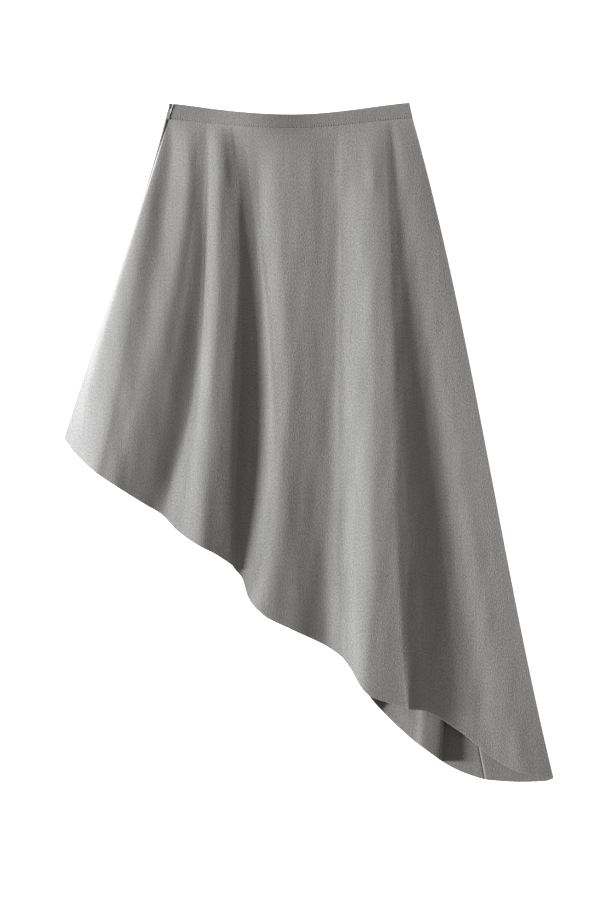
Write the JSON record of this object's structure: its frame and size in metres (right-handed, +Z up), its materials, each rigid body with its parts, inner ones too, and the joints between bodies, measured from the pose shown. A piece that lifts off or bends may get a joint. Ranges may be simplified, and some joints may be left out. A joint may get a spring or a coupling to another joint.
{
  "type": "asymmetric midi skirt",
  "caption": "Midi skirt laid flat, front up, with a narrow waistband, a concealed side zip and a hem slanting from short to long.",
  "frame": {"origin": "on the surface it lies on, under the centre of its outline seen from above", "axes": "+Z up from the surface, through back and front; +Y from the hem towards the waist; +X from the short side with the zip to the long side"},
  "size_m": [0.685, 0.9508, 0.0422],
  "materials": {
    "skirt_cloth": "matt crepe with a faint sheen",
    "band_cloth": "matt crepe, pressed",
    "tape_cloth": "close woven tape",
    "zip_metal": "grey lacquer, satin"
  },
  "bodies": {
    "skirt": {"front_panel": "skirt_cloth", "back_panel": "skirt_cloth", "front_waistband": "band_cloth", "back_waistband": "band_cloth", "zip_tape": "tape_cloth", "zip_slider": "zip_metal"},
    "pull": {"zip_pull": "zip_metal"}
  },
  "joints": [
    {"name": "zip_pull", "type": "hinge", "parent": "skirt", "child": "pull", "pos_m": [-0.194, 0.4695, 0.004], "axis": [-0.9781, 0.2079, 0], "range_deg": [0, 170]}
  ]
}
